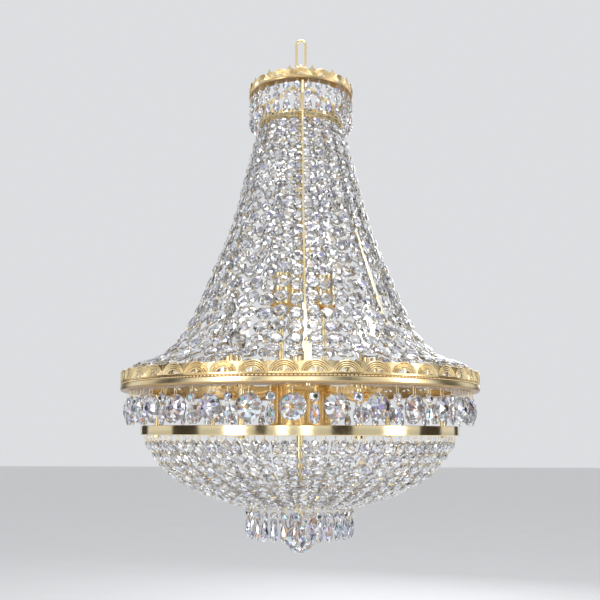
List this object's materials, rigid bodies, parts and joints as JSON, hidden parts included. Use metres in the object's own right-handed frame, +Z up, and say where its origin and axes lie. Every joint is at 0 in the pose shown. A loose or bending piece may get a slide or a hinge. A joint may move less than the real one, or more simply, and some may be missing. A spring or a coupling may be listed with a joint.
{
  "type": "basket chandelier",
  "caption": "Round tiered basket chandelier of polished brass rings, cut crystal strands, pendants and a hanging ball, with candle lamps inside, hung from a link.",
  "frame": {"origin": "point where the ceiling hook touches the inside of the link's top bend", "axes": "+Z up, -Y towards the front of the picture, +X to its right"},
  "size_m": [0.5, 0.5, 0.7629],
  "materials": {
    "polished_brass": "polished gold-plated brass",
    "clear_crystal": "clear cut crystal with polished facets",
    "bulb_glass": "clear blown glass",
    "lamp_plastic": "moulded insulating plastic",
    "lamp_cap_metal": "rolled thread in thin sheet metal"
  },
  "bodies": {
    "link": {"hook_link": "polished_brass"},
    "fixture": {"band_drops": "clear_crystal", "band_octagons": "clear_crystal", "band_posts": "polished_brass", "basket_band": "polished_brass", "basket_strands": "clear_crystal", "bobeches": "polished_brass", "bottom_cap": "polished_brass", "bottom_drops": "clear_crystal", "bottom_octagons": "clear_crystal", "bottom_ring": "polished_brass", "bottom_spider": "polished_brass", "candle_sleeves": "polished_brass", "central_stem": "polished_brass", "crown_drops": "clear_crystal", "crown_gallery": "polished_brass", "crown_octagons": "clear_crystal", "crown_rim": "polished_brass", "crown_spider": "polished_brass", "crystal_pins": "polished_brass", "curtain_strands": "clear_crystal", "frame_ribs": "polished_brass", "hub_base": "polished_brass", "hub_cover": "polished_brass", "hub_drum": "polished_brass", "lamp_arms": "polished_brass", "lamp_nuts": "polished_brass", "lamp_poles": "polished_brass", "lampholders": "lamp_plastic", "large_crystals": "clear_crystal", "main_gallery": "polished_brass", "main_rim": "polished_brass", "neck_ring": "polished_brass", "post_bolts": "polished_brass", "post_nuts": "polished_brass", "rib_screws": "polished_brass", "stem_collar": "polished_brass", "stem_nuts": "polished_brass", "terminal_block": "lamp_plastic", "top_eye": "polished_brass"},
    "ball": {"crystal_ball": "clear_crystal", "ball_pin": "polished_brass"},
    "bulb_1": {"bulb_cap_1": "lamp_cap_metal", "bulb_glass_1": "bulb_glass"},
    "bulb_2": {"bulb_cap_2": "lamp_cap_metal", "bulb_glass_2": "bulb_glass"},
    "bulb_3": {"bulb_cap_3": "lamp_cap_metal", "bulb_glass_3": "bulb_glass"},
    "bulb_4": {"bulb_cap_4": "lamp_cap_metal", "bulb_glass_4": "bulb_glass"},
    "bulb_5": {"bulb_cap_5": "lamp_cap_metal", "bulb_glass_5": "bulb_glass"},
    "bulb_6": {"bulb_cap_6": "lamp_cap_metal", "bulb_glass_6": "bulb_glass"},
    "bulb_7": {"bulb_cap_7": "lamp_cap_metal", "bulb_glass_7": "bulb_glass"},
    "bulb_8": {"bulb_cap_8": "lamp_cap_metal", "bulb_glass_8": "bulb_glass"},
    "bulb_9": {"bulb_cap_9": "lamp_cap_metal", "bulb_glass_9": "bulb_glass"}
  },
  "joints": [
    {"name": "link_swing", "type": "hinge", "parent": "link", "child": "fixture", "pos_m": [0, 0, -0.044], "axis": [1, 0, 0], "range_deg": [-25, 25]},
    {"name": "ball_swing", "type": "hinge", "parent": "fixture", "child": "ball", "pos_m": [0, 0, -0.7092], "axis": [1, 0, 0], "range_deg": [-40, 40]},
    {"name": "bulb_1_turn", "type": "hinge", "parent": "fixture", "child": "bulb_1", "pos_m": [0, -0.108, -0.511], "axis": [0, 0, 1], "range_deg": [0, 1080]},
    {"name": "bulb_2_turn", "type": "hinge", "parent": "fixture", "child": "bulb_2", "pos_m": [0.09353, -0.054, -0.511], "axis": [0, 0, 1], "range_deg": [0, 1080]},
    {"name": "bulb_3_turn", "type": "hinge", "parent": "fixture", "child": "bulb_3", "pos_m": [0.09353, 0.054, -0.511], "axis": [0, 0, 1], "range_deg": [0, 1080]},
    {"name": "bulb_4_turn", "type": "hinge", "parent": "fixture", "child": "bulb_4", "pos_m": [0, 0.108, -0.511], "axis": [0, 0, 1], "range_deg": [0, 1080]},
    {"name": "bulb_5_turn", "type": "hinge", "parent": "fixture", "child": "bulb_5", "pos_m": [-0.09353, 0.054, -0.511], "axis": [0, 0, 1], "range_deg": [0, 1080]},
    {"name": "bulb_6_turn", "type": "hinge", "parent": "fixture", "child": "bulb_6", "pos_m": [-0.09353, -0.054, -0.511], "axis": [0, 0, 1], "range_deg": [0, 1080]},
    {"name": "bulb_7_turn", "type": "hinge", "parent": "fixture", "child": "bulb_7", "pos_m": [-0.02717, -0.02362, -0.3895], "axis": [0, 0, 1], "range_deg": [0, 1080]},
    {"name": "bulb_8_turn", "type": "hinge", "parent": "fixture", "child": "bulb_8", "pos_m": [0.03404, -0.01172, -0.3895], "axis": [0, 0, 1], "range_deg": [0, 1080]},
    {"name": "bulb_9_turn", "type": "hinge", "parent": "fixture", "child": "bulb_9", "pos_m": [-0.00687, 0.03534, -0.3895], "axis": [0, 0, 1], "range_deg": [0, 1080]}
  ]
}
